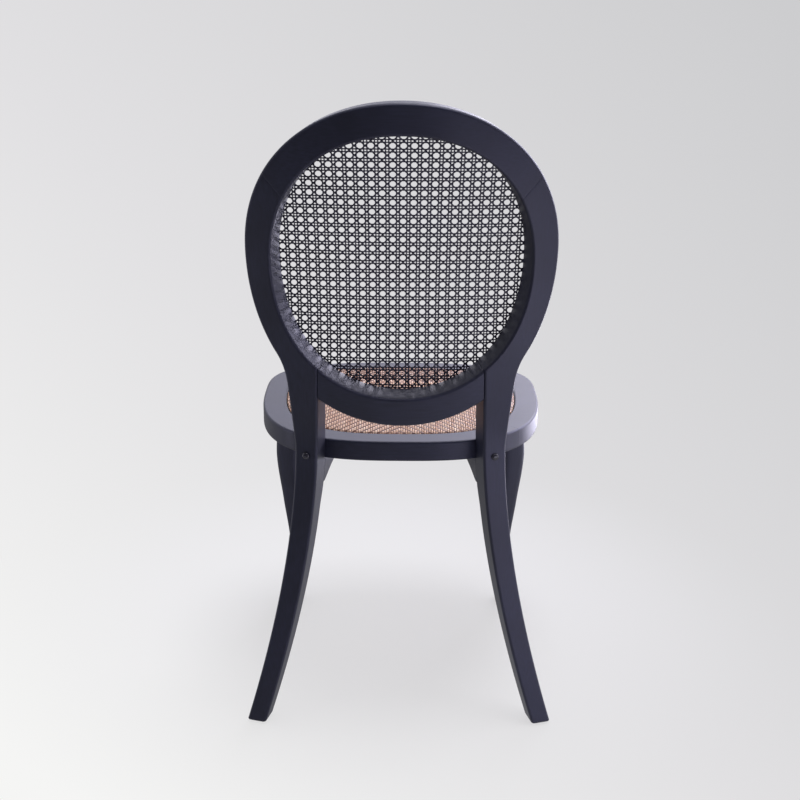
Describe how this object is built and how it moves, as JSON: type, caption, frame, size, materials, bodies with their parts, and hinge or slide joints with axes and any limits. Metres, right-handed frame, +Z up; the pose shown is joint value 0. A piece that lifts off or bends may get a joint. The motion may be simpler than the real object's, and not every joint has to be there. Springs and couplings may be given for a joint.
{
  "type": "dining chair",
  "caption": "Round-seated wooden dining chair with a tall oval back frame, a cane back panel and a woven rattan seat.",
  "frame": {"origin": "floor level under the middle of the chair's bounding box", "axes": "+Z up; the sitter faces -Y and the oval back stands at +Y; +X is the sitter's left"},
  "size_m": [0.4784, 0.5336, 0.9688],
  "materials": {
    "black_lacquer": "blue-black satin lacquer on beech",
    "black_cane": "black-stained six-way cane",
    "rattan": "natural woven rattan, light sheen",
    "foam": "thin foam pad",
    "plywood": "unfinished plywood",
    "beech": "unfinished beech",
    "black_bolt": "black enamel",
    "steel": "zinc plated",
    "nylon": "moulded nylon"
  },
  "bodies": {
    "root": {"rear_leg_left": "black_lacquer", "rear_leg_right": "black_lacquer", "front_leg_left": "black_lacquer", "front_leg_right": "black_lacquer", "crest_rail": "black_lacquer", "lower_back_rail": "black_lacquer", "seat_rail_rear": "black_lacquer", "seat_rail_right": "black_lacquer", "seat_rail_front": "black_lacquer", "seat_rail_left": "black_lacquer", "rear_gusset_left": "black_lacquer", "rear_gusset_right": "black_lacquer", "back_cane": "black_cane", "cane_spline": "black_cane", "woven_seat": "rattan", "seat_pad": "foam", "seat_board": "plywood", "crest_dowel_left_inner": "beech", "crest_dowel_left_outer": "beech", "crest_dowel_right_inner": "beech", "crest_dowel_right_outer": "beech", "rail_dowel_left_inner": "beech", "rail_dowel_left_outer": "beech", "rail_dowel_right_inner": "beech", "rail_dowel_right_outer": "beech", "front_leg_dowel_left": "beech", "front_leg_dowel_right": "beech", "ring_tongue_1": "beech", "ring_tongue_2": "beech", "ring_tongue_3": "beech", "ring_tongue_4": "beech", "rear_bolt_left": "black_bolt", "rear_bolt_right": "black_bolt", "barrel_nut_left": "steel", "barrel_nut_right": "steel", "gusset_screw_left_1": "steel", "gusset_screw_left_2": "steel", "gusset_screw_right_1": "steel", "gusset_screw_right_2": "steel", "board_screw_1": "steel", "board_screw_2": "steel", "board_screw_3": "steel", "board_screw_4": "steel", "front_leg_screw_left": "steel", "front_leg_screw_right": "steel", "rear_glide_left": "nylon", "rear_glide_right": "nylon", "front_glide_left": "nylon", "front_glide_right": "nylon"}
  },
  "joints": []
}
